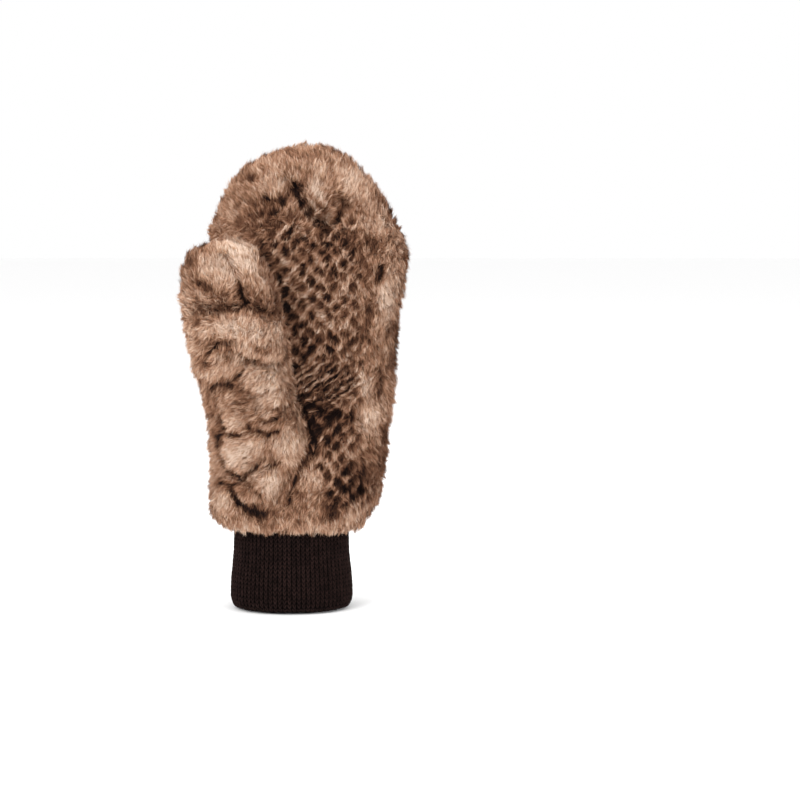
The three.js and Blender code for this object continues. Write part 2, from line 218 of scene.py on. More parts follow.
# Narrow dark lines of painted shade along the creases, which also press the pile in: name, half width,
# darkness, and route as x and z
HAND_LINES = [
    ("fingertip_dent", 0.7, 0.95, [(2, 243), (5, 237), (8, 230), (12, 224), (16, 220), (21, 220)]),
    ("dent_twin", 0.4, 0.6, [(5, 238), (9, 237), (11, 231), (13, 226)]),
    ("fingertip_dent_right", 0.8, 0.5, [(21, 220), (26, 220), (29, 226), (31, 233)]),
    ("crescent", 0.8, 0.7, [(-14, 238), (-12, 236), (-7, 234), (-1, 235), (1, 238), (2, 242)]),
    ("seam_shadow", 0.6, 0.95, [(5, 122), (9, 116), (10, 110), (12, 104), (14, 98), (12, 91), (9, 85),
                                (6, 80), (3, 74), (0, 68), (0, 62)]),
    ("seam_twin", 0.4, 0.8, [(15, 98), (14, 91), (10, 84)]),
    ("ridge_high", 0.5, 0.8, [(11, 124), (19, 129), (26, 134), (32, 139)]),
    ("ridge_middle", 0.5, 0.7, [(5, 128), (12, 132), (19, 136), (23, 140)]),
    ("ridge_low", 0.5, 0.6, [(19, 125), (26, 129), (32, 134), (35, 138)]),
    ("right_streak", 0.5, 0.5, [(52, 196), (52, 191), (51, 186)]),
    ("heel_streak", 1.3, 0.55, [(51, 137), (54, 130), (53, 125), (50, 122)]),
]
THUMB_LINES = [
    ("tip_parting", 0.35, 0.45, [(-35, 208), (-30, 200), (-27, 196), (-25, 191)]),
    ("tip_dent", 0.7, 1.0, [(-25, 191), (-24, 187), (-23, 182), (-21, 178)]),
    ("knuckle", 0.5, 1.0, [(-42, 172), (-35, 174), (-28, 175), (-23, 177), (-19, 178)]),
    ("knuckle_right", 0.8, 0.5, [(-18, 175), (-13, 174), (-8, 172)]),
    ("below_knuckle", 0.55, 0.75, [(-43, 157), (-39, 155), (-32, 156), (-26, 156), (-23, 155)]),
    ("below_knuckle_branch", 0.9, 0.75, [(-32, 155), (-37, 154), (-41, 151), (-44, 148)]),
    ("root", 0.7, 0.95, [(-32, 151), (-26, 149), (-21, 146), (-15, 144), (-9, 143), (-3, 142)]),
    ("root_end", 0.8, 0.8, [(-2, 141), (1, 146), (2, 147)]),
    ("upper_ball", 0.7, 0.8, [(-43, 128), (-39, 130), (-34, 131), (-30, 134), (-25, 138), (-23, 140)]),
    ("upper_ball_right", 0.8, 0.65, [(-33, 131), (-26, 130), (-21, 126), (-17, 126), (-14, 125)]),
    ("ball_wisp", 0.9, 0.55, [(-29, 122), (-24, 121), (-21, 123)]),
    ("ball_wisp_right", 0.8, 0.45, [(-12, 118), (-7, 117), (-2, 118), (3, 120)]),
    ("ball_stroke_left", 0.9, 0.6, [(-23, 110), (-21, 106)]),
    ("ball_stroke_right", 1.0, 0.8, [(-13, 110), (-9, 111), (-6, 112)]),
    ("ball_stroke_low", 0.8, 0.8, [(-16, 105), (-11, 103), (-4, 105)]),
    ("left_band", 1.1, 0.75, [(-39, 113), (-37, 108), (-35, 103), (-28, 103)]),
    ("left_band_low", 1.1, 0.7, [(-36, 104), (-40, 99), (-41, 95), (-40, 91), (-37, 85)]),
    ("ball_crossing", 0.7, 1.0, [(-37, 85), (-33, 81), (-28, 79), (-23, 80), (-18, 84), (-13, 89)]),
    ("crossing_branch", 0.8, 0.6, [(-18, 83), (-11, 85), (-5, 86)]),
    ("low_left", 0.7, 0.95, [(-40, 75), (-35, 74), (-30, 74), (-25, 78), (-23, 79)]),
    ("above_hem", 1.5, 0.65, [(-34, 73), (-31, 68), (-27, 62), (-21, 58), (-15, 56)]),
    ("low_smudge", 1.3, 0.5, [(-22, 75), (-18, 70), (-15, 67)]),
]
CREASE_DEPTH = 1.1  # of the crease that the darkest line makes
CREASE_HALF = 1.3
# The lattice of dark spots on the palm: one spot's place, the steps to the next spot in its row and
# to the next row, a spot's half sizes, and how far it may stray
SPOT_AT = (17.0, 193.0)
SPOT_STEP = 9.5
ROW_STEP = 4.95
SPOT_HALF = (2.4, 3.2)
SPOT_JITTER = 2.2
# Where the lattice lies: z, its middle x and its half width
PALM_REACH = np.array([
    (55.0, 36.0, 11.0),
    (75.0, 31.0, 14.0),
    (95.0, 25.0, 16.0),
    (115.0, 21.0, 20.0),
    (140.0, 17.0, 25.0),
    (170.0, 14.0, 28.0),
    (200.0, 13.0, 30.0),
    (225.0, 12.0, 28.0),
    (243.0, 8.0, 16.0),
])
# The fan of wrinkles at the thumb's root, painted as stripes of light and shade: its middle, its half sizes
# and the step between ridges
FAN_AT = (20.0, 131.0)
FAN_HALF = (18.0, 11.0)
RIDGE_STEP = 3.3


# Smooth surfaces from the tables

def smooth_column(at, value, where):
    """Monotone cubic through the points (at, value), read at other places."""
    slope = np.diff(value) / np.diff(at)
    product, total = slope[:-1] * slope[1:], slope[:-1] + slope[1:]
    inner = np.where(product > 0, 2 * product / np.where(product > 0, total, 1), 0)
    tangent = np.concatenate([slope[:1], inner, slope[-1:]])
    k = np.clip(np.searchsorted(at, where, side="right") - 1, 0, len(at) - 2)
    step = at[k + 1] - at[k]
    t = (where - at[k]) / step
    ends = value[k] * (1 + 2 * t) * (1 - t) ** 2 + value[k + 1] * t * t * (3 - 2 * t)
    bends = step * (tangent[k] * t * (1 - t) ** 2 + tangent[k + 1] * t * t * (t - 1))
    return ends + bends


def even_sections(rows, count):
    """Cross-sections at even steps along the smooth outline through a table's rows."""
    half_width = (rows[:, 2] - rows[:, 1]) / 2
    steps = np.hypot(np.diff(rows[:, 0]), np.diff(half_width))
    at = np.concatenate([[0], np.cumsum(steps)])
    where = np.linspace(0, at[-1], count)
    return np.stack([smooth_column(at, column, where) for column in rows.T], axis=1)


def ring(section, count, squareness):
    """Points round one cross-section at even steps of arc, and the outward direction at each."""
    z, left, right, front, back = section
    half = np.array([(right - left) / 2, (back - front) / 2])
    centre = np.array([(right + left) / 2, (back + front) / 2])
    angle = np.linspace(0, 2 * math.pi, 361)
    wave = np.stack([np.cos(angle), np.sin(angle)], axis=1)
    line = half * np.sign(wave) * np.abs(wave) ** (2 / squareness)
    arc = np.concatenate([[0], np.cumsum(np.linalg.norm(np.diff(line, axis=0), axis=1))])
    wanted = np.linspace(0, arc[-1], count, endpoint=False)
    flat = np.stack([np.interp(wanted, arc, line[:, k]) for k in (0, 1)], axis=1)
    outward = np.sign(flat) * np.abs(flat / half) ** (squareness - 1) / half
    outward /= np.linalg.norm(outward, axis=1, keepdims=True)
    points = np.concatenate([flat + centre, np.full((count, 1), z)], axis=1)
    return points, np.concatenate([outward, np.zeros((count, 1))], axis=1)


def from_route(route, x, z):
    """Distance from a route of straight runs, given as x and z."""
    nearest = np.full(x.shape, np.inf)
    for (x0, z0), (x1, z1) in itertools.pairwise(route):
        run = np.array([x1 - x0, z1 - z0], float)
        t = np.clip(((x - x0) * run[0] + (z - z0) * run[1]) / (run @ run), 0, 1)
        nearest = np.minimum(nearest, np.hypot(x - x0 - t * run[0], z - z0 - t * run[1]))
    return nearest


def fold_depth(folds, x, z):
    """How deep the folds press the pile in at each place."""
    depth = np.zeros(x.shape)
    for fold in folds:
        nearest = from_route(fold["route"], x, z)
        depth = np.maximum(depth, fold["depth"] * np.exp(-((nearest / fold["half"]) ** 1.4)))
    return depth


def creases(lines):
    """The narrow creases that the lines press into the pile."""
    return [dict(depth=CREASE_DEPTH * dark, half=CREASE_HALF, route=route) for _, _, dark, route in lines]


def hashed(cells, salt):
    """A number from 0 to 1 for each row of three whole numbers, the same at every run."""
    mixed = cells[..., 0] * 73856093 ^ cells[..., 1] * 19349663
    mixed = mixed ^ cells[..., 2] * 83492791 ^ salt * 40503
    mixed = (mixed & 0xFFFFFFFF).astype(np.uint64)
    mixed = ((mixed ^ (mixed >> np.uint64(16))) * np.uint64(0x45D9F3B)) & np.uint64(0xFFFFFFFF)
    mixed = ((mixed ^ (mixed >> np.uint64(16))) * np.uint64(0x45D9F3B)) & np.uint64(0xFFFFFFFF)
    return (mixed ^ (mixed >> np.uint64(16))).astype(float) / 2.0**32


def noise(points, size, salt):
    """Smooth noise from -1 to 1 whose bumps are about size across."""
    scaled = points / size
    cell = np.floor(scaled).astype(np.int64)
    t = scaled - cell
    t = t * t * (3 - 2 * t)
    total = np.zeros(points.shape[:-1])
    for corner in itertools.product((0, 1), repeat=3):
        weight = np.prod(np.where(np.array(corner) == 1, t, 1 - t), axis=-1)
        total += weight * hashed(cell + np.array(corner), salt)
    return 2 * total - 1


def tufts(points, size, salt):
    """The nearest of scattered tuft centres to each point, and that tuft's three random numbers."""
    cell = np.floor(points / size).astype(np.int64)
    nearest = np.full(len(points), np.inf)
    centre = np.zeros_like(points)
    own = np.zeros_like(cell)
    for corner in itertools.product((-1, 0, 1), repeat=3):
        beside = cell + np.array(corner)
        place = (beside + np.stack([hashed(beside, salt + k) for k in range(3)], axis=-1)) * size
        distance = np.linalg.norm(points - place, axis=1)
        closer = distance < nearest
        nearest = np.where(closer, distance, nearest)
        centre[closer] = place[closer]
        own[closer] = beside[closer]
    return centre, np.stack([hashed(own, salt + 5 + k) for k in range(3)], axis=-1)


def unit(vectors):
    return vectors / np.maximum(np.linalg.norm(vectors, axis=-1, keepdims=True), 1e-9)


def form(rows, rings, segments, front=(), back=(), lines=()):
    """A fur panel's mean outer surface as a grid of points, with its normals and its sections."""
    sections = even_sections(rows, rings)
    rounds = [ring(section, segments, HAND_SQUARENESS) for section in sections]
    points, outward = (np.array(part) for part in zip(*rounds))
    x, z = points[..., 0], points[..., 2]
    facing = np.sqrt(np.abs(outward[..., 1]))
    in_front = fold_depth(front, x, z) + fold_depth(creases(lines), x, z)
    pressed = np.where(outward[..., 1] < 0, in_front, fold_depth(back, x, z))
    pressed[[0, -1]] = 0
    puffs = 0.9 * noise(points, 21.0, 11) + 0.5 * noise(points, 10.0, 12)
    bare = points + puffs[..., None] * outward
    points = bare - (facing * pressed)[..., None] * outward
    return dict(points=points, normals=grid_normals(points), bare=bare, bare_normals=grid_normals(bare),
                pressed=facing * pressed, sections=sections)


def grid_normals(points):
    round_it = np.roll(points, -1, axis=1) - np.roll(points, 1, axis=1)
    return unit(np.cross(round_it, np.gradient(points, axis=0)))


def under_surface(shape, step, depth):
    """A coarser grid that lies under the form at a depth, also where narrow folds press it in."""
    deepest = shape["pressed"]
    reach = range(-step, step + 1)
    deepest = np.max([np.roll(deepest, k, axis=1) for k in reach], axis=0)
    rows = np.arange(len(deepest))
    deepest = np.max([deepest[np.clip(rows + k, 0, len(rows) - 1)] for k in reach], axis=0)
    kept = np.append(rows[:-1:step], rows[-1])
    points, normals = shape["bare"][kept, ::step], shape["bare_normals"][kept, ::step]
    return points - (depth + deepest[kept, ::step])[..., None] * normals, normals


def read(grid, row, column):
    """The grid's value between its points."""
    rings, segments = grid.shape[:2]
    j = np.clip(np.floor(row).astype(int), 0, rings - 2)
    i = np.floor(column).astype(int) % segments
    a = (row - j)[:, None]
    b = (column - np.floor(column))[:, None]
    low = grid[j, i] * (1 - b) + grid[j, (i + 1) % segments] * b
    high = grid[j + 1, i] * (1 - b) + grid[j + 1, (i + 1) % segments] * b
    return low * (1 - a) + high * a


def within(shape, points, grow):
    """Whether each point is inside a form that is grown all round."""
    at, sides = shape["sections"][:, 0], shape["sections"][:, 1:]
    left, right, front, back = (np.interp(points[:, 2], at, side) for side in sides.T)
    x = (points[:, 0] - (left + right) / 2) / ((right - left) / 2 + grow)
    y = (points[:, 1] - (front + back) / 2) / ((back - front) / 2 + grow)
    level = (points[:, 2] > at[0] - grow) & (points[:, 2] < at[-1] + grow)
    return level & (np.abs(x) ** HAND_SQUARENESS + np.abs(y) ** HAND_SQUARENESS < 1)


# Meshes

def quads(rings, segments):
    """Faces between the rings of a grid that runs upwards, as numbers of its points."""
    j, i = np.meshgrid(np.arange(rings - 1), np.arange(segments), indexing="ij")
    n = (i + 1) % segments
    low, high = j * segments, (j + 1) * segments
    return np.stack([low + i, low + n, high + n, high + i], axis=-1).reshape(-1, 4)


def mesh_object(name, points, faces, material):
    """A piece from points in millimetres and faces that all have the same number of corners."""
    mesh = bpy.data.meshes.new(name)
    mesh.vertices.add(len(points))
    mesh.vertices.foreach_set("co", (points * MM).astype(np.float32).ravel())
    mesh.loops.add(faces.size)
    mesh.loops.foreach_set("vertex_index", faces.astype(np.int32).ravel())
    mesh.polygons.add(len(faces))
    mesh.polygons.foreach_set("loop_start", np.arange(0, faces.size, faces.shape[1], dtype=np.int32))
    mesh.update(calc_edges=True)
    mesh.polygons.foreach_set("use_smooth", np.ones(len(faces), dtype=bool))
    mesh.materials.append(material)
    piece = bpy.data.objects.new(name, mesh)
    bpy.context.scene.collection.objects.link(piece)
    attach(piece, "root")
    return piece


# Pile

def marked(marks, x, z):
    """Change of tone by the marks."""
    total = np.zeros(x.shape)
    for _, x_middle, z_middle, half_width, half_height, turn, change in marks:
        c, s = math.cos(math.radians(turn)), math.sin(math.radians(turn))
        u = ((x - x_middle) * c - (z - z_middle) * s) / half_width
        v = ((x - x_middle) * s + (z - z_middle) * c) / half_height
        total += change * np.exp(-0.8 * (u * u + v * v) ** 1.5)
    return total


def lined(lines, x, z, points):
    """How dark the painted shade of the creases is along the lines, from 0 to 1, uneven along their length.
    """
    total = np.zeros(x.shape)
    uneven = 0.75 + 0.45 * noise(points, 7.0, 31)
    for _, half, dark, route in lines:
        distance = from_route(route, x, z)
        core = np.exp(-((distance / half) ** 2))
        shade = 0.18 * np.exp(-((distance / (half + 1.0)) ** 2))
        total = np.maximum(total, dark * uneven * np.maximum(core, shade))
    return np.clip(total, 0, 1)


def spotted(x, z):
    """The palm's lattice: how dark a place is, from 0 to 1, and how far it is from that spot's middle."""
    dark = np.zeros(x.shape)
    offset = np.zeros(x.shape + (2,))
    middle_row = np.round((SPOT_AT[1] - z) / ROW_STEP)
    for k in (-1, 0, 1):
        row = middle_row + k
        shift = SPOT_STEP / 2 * (row % 2)
        column = np.round((x - SPOT_AT[0] - shift) / SPOT_STEP)
        key = np.stack([row, column, 0 * row], axis=-1).astype(np.int64)
        away = np.stack([
            x - SPOT_AT[0] - shift - SPOT_STEP * column - SPOT_JITTER * (hashed(key, 41) - 0.5),
            z - SPOT_AT[1] + ROW_STEP * row - SPOT_JITTER * (hashed(key, 42) - 0.5),
        ], axis=-1)
        tilt = 0.2 + 0.9 * (hashed(key, 45) - 0.5)
        slim = 0.75 + 0.5 * hashed(key, 43)
        turned = away[:, 0] * np.cos(tilt) - away[:, 1] * np.sin(tilt)
        along = away[:, 0] * np.sin(tilt) + away[:, 1] * np.cos(tilt)
        scaled = np.stack([turned / (SPOT_HALF[0] * slim), along * slim / SPOT_HALF[1]], axis=-1)
        here = (0.55 + 0.45 * hashed(key, 44)) * np.exp(-0.7 * np.linalg.norm(scaled, axis=-1) ** 3)
        offset[here > dark] = away[here > dark]
        dark = np.maximum(dark, here)
    return dark, offset


def veined(points):
    """Winding dark lines that come and go, and the brown beside them, from 0 to 1."""
    level = np.abs(noise(points, 27.0, 51) + 0.35 * noise(points, 10.0, 52))
    strength = np.clip(0.65 + 0.9 * noise(points, 19.0, 53), 0, 1)
    line = np.exp(-((level / 0.075) ** 2))
    beside = 0.35 * np.exp(-((level / 0.22) ** 2))
    return strength * np.maximum(line, beside)


def palm_reach(points):
    """How far a place is in the lattice, from 0 to 1."""
    middle, half = (np.interp(points[:, 2], PALM_REACH[:, 0], PALM_REACH[:, k]) for k in (1, 2))
    ends = np.clip((points[:, 2] - 50) / 12, 0, 1) * np.clip((244 - points[:, 2]) / 12, 0, 1)
    return ends * np.exp(-(((points[:, 0] - middle) / half) ** 4))


def fan_reach(points):
    """How far a place is in the fan of ridges at the thumb's root, from 0 to 1."""
    x = (points[:, 0] - FAN_AT[0]) / FAN_HALF[0]
    z = (points[:, 2] - FAN_AT[1]) / FAN_HALF[1]
    return np.exp(-((x**2 + z**2) ** 1.5))


def tone_of(points, normal, marks, lines, base_tone, lattice):
    """How light the pile's tips are, from 0, dark brown, to 1, cream, how strongly the painted shade of a
    crease line darkens them, and how the lattice gathers them."""
    warp = [1.0 * noise(points, 5.0, 60 + k) + 0.6 * noise(points, 2.2, 63 + k) for k in (0, 1)]
    x, z = points[:, 0] + warp[0], points[:, 2] + warp[1]
    # 1 from the front round to the outline, 1 only at the front, and 1 only at the outline
    front = np.clip(1.3 - 5 * normal[:, 1], 0, 1)
    facing = np.clip(-2.5 * normal[:, 1], 0, 1)
    outline = front * (1 - np.clip(-1.6 * normal[:, 1], 0, 1))
    # Towards the outline the pile is painted darker, as painted shade at the sides, and round the back it is
    # a little lighter
    tone = base_tone - 0.10 * outline + 0.06 * (1 - front)
    tone += (0.16 - 0.11 * facing) * noise(points, 30.0, 21)
    tone += (0.19 - 0.08 * facing) * noise(points, 11.0, 22)
    tone += 0.13 * noise(points, 4.0, 23)
    tone += front * marked(marks, x, z)
    # Painted shade along the crease lines, darkest in their middle
    crease_shade = front * lined(lines, points[:, 0] + 0.45 * warp[0], points[:, 2] + 0.45 * warp[1], points)
    gather = np.zeros(points.shape)
    if lattice:
        fan = facing * fan_reach(points)
        net = facing * palm_reach(points) * (1 - fan)
        # The fan's wrinkles are painted into the tone: painted highlight on their ridges, painted shade
        # between them, and darker overall
        ridge = np.cos((z * 0.85 - x * 0.53) * 2 * math.pi / RIDGE_STEP)
        spots, offset = spotted(x, z)
        tone += net * (0.17 - 0.78 * spots)
        tone += fan * (0.65 * np.clip(ridge, -0.7, 0.7) - 0.17)
        gather[:, [0, 2]] = 0.35 * (net * spots)[:, None] * offset
    # The veins are the pile's own pattern; the crease lines darken it as painted shade
    tone -= 0.55 * veined(points) * (1 - 0.75 * front) + 0.90 * crease_shade
    return tone, crease_shade, gather


def spread(points, normals, count):
    """Places spread evenly over a grid's surface, and the normals there."""
    across = np.roll(points, -1, axis=1) - points
    along = np.diff(points, axis=0)
    area = np.linalg.norm(np.cross(across[:-1], along), axis=-1).sum(axis=1)
    share = np.concatenate([[0], np.cumsum(area)]) / area.sum()
    place = np.arange(count) + 0.5
    row = np.interp((place * 0.7548776662) % 1, share, np.arange(len(share)))
    column = (place * 0.5698402910) % 1 * points.shape[1]
    return read(points, row, column), unit(read(normals, row, column))


def grow_pile(shape, other, count, salt, marks, lines, base_tone, lattice=False):
    """Strands of pile spread evenly over a form, as roots and tips with their tones."""
    rng = np.random.default_rng(salt)
    base, normal = spread(shape["points"], shape["normals"], count)
    shown = ~within(other, base, -1.0)
    base, normal = base[shown], normal[shown]
    count = len(base)
    z = base[:, 2]
    tuft, of_tuft = tufts(base, TUFT_SIZE, salt + 10)
    lock, of_lock = tufts(base, LOCK_SIZE, salt + 30)
    clump, of_clump = tufts(base, CLUMP_SIZE, salt + 50)
    calm = np.clip(-2.5 * normal[:, 1], 0, 1) * palm_reach(base) if lattice else np.zeros(count)
    upright = 1 - 0.2 * calm
    outline = 1 - np.clip(-1.6 * normal[:, 1], 0, 1)

    def flat(vectors):
        return vectors - normal * (vectors * normal).sum(axis=1, keepdims=True)

    # Direction, as an angle from straight up: up at the tip and down below it, in slow swirls
    swirl = 1.8 * noise(base, 30.0, salt + 1) + 0.7 * noise(base, 10.0, salt + 2)
    swirl *= 1 - 0.8 * calm
    top = shape["sections"][-1, 0]
    down = of_clump[:, 2] < (top - 38 - z) / 20
    angle = np.where(down, math.pi - 0.55, 0.4 - 0.95 * calm) + np.where(down, 0.5, 1.0) * swirl
    if lattice:
        angle += calm * fan_reach(base) * (math.pi - 1.0 - angle)
    angle *= 1 - 0.75 * np.clip((z - top + 55) / 40, 0, 1)
    angle += np.clip((70 - z) / 18, 0, 1) * (math.pi - angle)
    up = unit(flat(np.tile([0.0, 0.0, 1.0], (count, 1))))
    side = np.cross(normal, up)
    comb = unit(flat(up * np.cos(angle)[:, None] + side * np.sin(angle)[:, None]))

    # Tone, read near each lock's middle so that a lock is of one tone
    seen = 0.65 * base + 0.35 * lock + 0.9 * comb
    tone, crease_shade, gather = tone_of(seen, normal, marks, lines, base_tone, lattice)
    guard = rng.random(count) < 0.06
    own_tone = 0.28 * (of_lock[:, 0] - 0.5) + rng.normal(0, 0.06, count) + 0.15 * guard
    tone += (1 - 0.5 * np.clip((tone - 0.5) / 0.4, 0, 1)) * own_tone
    tone += 0.18 * (of_clump[:, 1] - 0.5) + 0.10 * np.clip((52 - z) / 6, 0, 1)

    # Lean from the surface, and a turn of its direction
    lean = 46 + 13 * (of_tuft[:, 0] - 0.5) + 18 * (of_lock[:, 1] - 0.5) + rng.normal(0, 8, count)
    lean = np.radians(lean) * upright
    turn = rng.normal(0, 0.25, count) + 0.9 * (of_lock[:, 2] - 0.5) + 0.8 * (of_tuft[:, 1] - 0.5)
    sideways = np.cross(normal, comb)
    comb = comb * np.cos(turn)[:, None] + sideways * np.sin(turn)[:, None]
    slant = normal * np.cos(lean)[:, None] + comb * np.sin(lean)[:, None]

    # Height of the tips over the surface, and how far they hang below the hem
    # Strands are also shorter where a crease's painted shade lies
    height = -0.7 + 1.2 * (tone + 0.7 * crease_shade - 0.6) + 0.7 * (of_tuft[:, 2] - 0.5) - 0.5 * crease_shade
    height += 1.1 * (of_lock[:, 1] - 0.5) + 3.5 * outline * (of_clump[:, 0] - 0.5)
    height += rng.normal(0, 0.4, count) + 0.9 * guard
    tip = base + normal * height[:, None] + upright[:, None] * comb
    at_front = np.clip(0.5 - 1.5 * normal[:, 1], 0, 1)
    drop = 0.4 + 0.08 * np.minimum(base[:, 0], 0) * at_front + 1.8 * noise(base, 6.0, salt + 4)
    drop += 1.4 * (of_tuft[:, 0] - 0.5) + 2.2 * (of_clump[:, 0] - 0.5)
    tip[:, 2] -= np.clip((53 - z) / 6, 0, 1) * drop

    # Tips gather towards the middles of their lock, tuft, spot and clump
    into_lock = (0.36 + 0.24 * outline)[:, None] * flat(lock - base)
    tip += into_lock + 0.08 * flat(tuft - base) + flat(gather)
    tip += 0.5 * outline[:, None] * flat(clump - base)
    root = tip - STRAND_LENGTH * slant - 0.9 * into_lock

    # Each strand is turned about its own line, so that the pile shines evenly
    roll = rng.uniform(-0.6, 0.6, count)
    level = np.cross(normal, comb)
    flank = level * np.cos(roll)[:, None] + np.cross(slant, level) * np.sin(roll)[:, None]
    return dict(root=root, tip=tip, flank=flank, base=base, tone=np.clip(tone, 0, 1),
                own=rng.random(count))


def strands_object(name, pile, chosen, material):
    """Strands as narrow triangles from root to tip. The texture map is laid by tone and by place along
    a strand, which are all that their colour depends on."""
    root, tip = pile["root"][chosen], pile["tip"][chosen]
    half = (STRAND_WIDTH / 2 * (0.7 + 0.6 * pile["own"][chosen]))[:, None] * pile["flank"][chosen]
    points = np.stack([root - half, root + half, tip], axis=1).reshape(-1, 3)
    faces = np.arange(len(points)).reshape(-1, 3)
    piece = mesh_object(name, points, faces, material)
    tone = np.repeat(pile["tone"][chosen], 3)
    along = np.tile([0.0, 0.0, 1.0], len(chosen))
    write_pile(piece, tone, along)
    beside = np.tile([-0.002, 0.002, 0.0], len(chosen))
    place = np.stack([0.01 + 0.98 * tone + beside, 0.01 + 0.98 * along], axis=1)
    layer = piece.data.uv_layers.new(name="OFBake")
    layer.uv.foreach_set("vector", place.astype(np.float32).ravel())
    return piece


def write_pile(piece, tone, along):
    """Tone and place along a strand, which the pile's material reads."""
    read_by_look = np.stack([tone, along, 0 * tone], axis=1)
    attribute = piece.data.attributes.new("pile", "FLOAT_VECTOR", "POINT")
    attribute.data.foreach_set("vector", read_by_look.astype(np.float32).ravel())


def undercoat(name, shape, other, marks, lines, base_tone, lattice, material):
    """The dense pile between the loose strands, as a soft surface in the same tones."""
    points, normals = under_surface(shape, 2, PILE_DEPTH)
    rings, segments = points.shape[:2]
    points, normals = points.reshape(-1, 3), normals.reshape(-1, 3)
    tone, crease_shade, _ = tone_of(points, normals, marks, lines, base_tone, lattice)
    points = points - (0.5 - 0.5 * tone + 0.5 * noise(points, 2.6, 71))[:, None] * normals
    faces = quads(rings, segments)
    hidden = within(other, points, -6.0)
    piece = mesh_object(name, points, faces[~hidden[faces].all(axis=1)], material)
    # The undercoat is darker than the tips above it: partly the pile's darker colour lower down, partly
    # painted shade deep in the pile
    tone -= 0.24 - 0.14 * np.clip((tone - 0.5) / 0.4, 0, 1)
    write_pile(piece, np.clip(tone, 0, 1), np.full(len(points), 0.55))
    return piece


# Rib cuff

def cuff_ring(z, inset, count):
    """Points round the cuff at one height, with the outward direction at each."""
    half_width, half_depth = (smooth_column(CUFF[:, 0], CUFF[:, k], np.array([z]))[0] for k in (1, 2))
    return ring((z, inset - half_width, half_width - inset, inset - half_depth, half_depth - inset),
                count, CUFF_SQUARENESS)


def cuff_profile():
    """The cuff's cross-section from its top, down the outside, round the rim and up the inside."""
    outside = [(z, TUBE_INSET) for z in np.linspace(CUFF_HEIGHT - 1, 3, 26)]
    rim_radius = (CUFF_WALL - TUBE_INSET) / 2
    turns = np.linspace(0, math.pi, 9)[1:-1]
    rim = [(rim_radius + 0.1 - rim_radius * math.sin(t), TUBE_INSET + rim_radius * (1 - math.cos(t)))
           for t in turns]
    inside = [(z, CUFF_WALL) for z in np.linspace(3, CUFF_HEIGHT - 1, 26)]
    return outside + rim + inside


def cuff_tube(material):
    """The knitted tube that carries the stitches, ribbed on both faces."""
    per_rib = 4
    count = RIB_COUNT * per_rib
    wave = np.cos(2 * math.pi * np.arange(count) / per_rib)
    rings = []
    for z, inset in cuff_profile():
        points, outward = cuff_ring(z, inset, count)
        face = 1 - 2 * (inset - TUBE_INSET) / (CUFF_WALL - TUBE_INSET)
        rings.append(points + 0.3 * face * (wave[:, None] - 1) * outward)
    grid = np.array(rings)
    j, i = np.meshgrid(np.arange(len(grid)), np.arange(count), indexing="ij")
    after, beside = (j + 1) % len(grid), (i + 1) % count
    faces = np.stack([j * count + i, after * count + i, after * count + beside, j * count + beside], axis=-1)
    return mesh_object("cuff_tube", grid.reshape(-1, 3), faces.reshape(-1, 4), material)


def stitch_legs(material):
    """Both legs of every stitch on the outside of the cuff, each a small spindle of yarn."""
    sides = 6
    turns = np.arange(sides) * 2 * math.pi / sides
    # Places along a leg, and how thick it is there
    levels = ((-0.5, 0.0), (-0.3, 0.8), (0.0, 1.0), (0.3, 0.8), (0.5, 0.0))
    rng = np.random.default_rng(8)
    places, outs, ups = [], [], []
    for z in np.arange(*STITCH_REACH, COURSE_HEIGHT):
        points, outward = cuff_ring(z, STITCH_INSET, RIB_COUNT)
        above, _ = cuff_ring(z + 0.5, STITCH_INSET, RIB_COUNT)
        places.append(points)
        outs.append(outward)
        ups.append(unit(above - points))
    place, out, up = (np.concatenate(part) for part in (places, outs, ups))
    out = unit(out - up * (out * up).sum(axis=1, keepdims=True))
    across = np.cross(up, out)
    points = []
    for hand in (-1, 1):
        lean = hand * np.radians(LEG_LEAN + rng.normal(0, 3, len(place)))
        axis = up * np.cos(lean)[:, None] + across * np.sin(lean)[:, None]
        beside = np.cross(out, axis)
        middle = place + hand * 0.45 * across + rng.normal(0, 0.06, place.shape)
        length = LEG_LENGTH + rng.normal(0, 0.12, len(place))
        for along, size in levels[1:-1]:
            for turn in turns:
                offset = 0.42 * size * math.cos(turn) * beside + 0.5 * size * math.sin(turn) * out
                points.append(middle + along * length[:, None] * axis + offset)
        for along, _ in (levels[0], levels[-1]):
            points.append(middle + along * length[:, None] * axis)
    per_leg = 3 * sides + 2
    stitches = len(place)
    # Points run by leg side, then by place on the leg, then by stitch
    grid = np.array(points).reshape(2, per_leg, stitches, 3).transpose(0, 2, 1, 3).reshape(-1, 3)
    one = []
    for k in range(sides):
        n = (k + 1) % sides
        one.append((3 * sides, n, k))
        for level in range(2):
            a, b = level * sides, (level + 1) * sides
            one.append((a + k, a + n, b + n))
            one.append((a + k, b + n, b + k))
        one.append((2 * sides + k, 2 * sides + n, 3 * sides + 1))
    faces = (np.array(one)[None] + per_leg * np.arange(2 * stitches)[:, None, None]).reshape(-1, 3)
    return mesh_object("cuff_stitches", grid, faces, material)


# Backing

def inset_rows(rows, wall):
    """A table's sections moved inwards by a wall's thickness, square to the outline."""
    before = rows[np.maximum(np.arange(len(rows)) - 1, 0)]
    after = rows[np.minimum(np.arange(len(rows)) + 1, len(rows) - 1)]
    rise = after[:, 0] - before[:, 0]
    widen = (after[:, 2] - after[:, 1] - before[:, 2] + before[:, 1]) / 2
    length = np.hypot(rise, widen)
    sideways, upwards = wall * rise / length, -wall * widen / length
    sideways[-1], upwards[-1] = 0, wall
    return rows + np.stack([-upwards, sideways, -sideways, sideways, -sideways], axis=1)


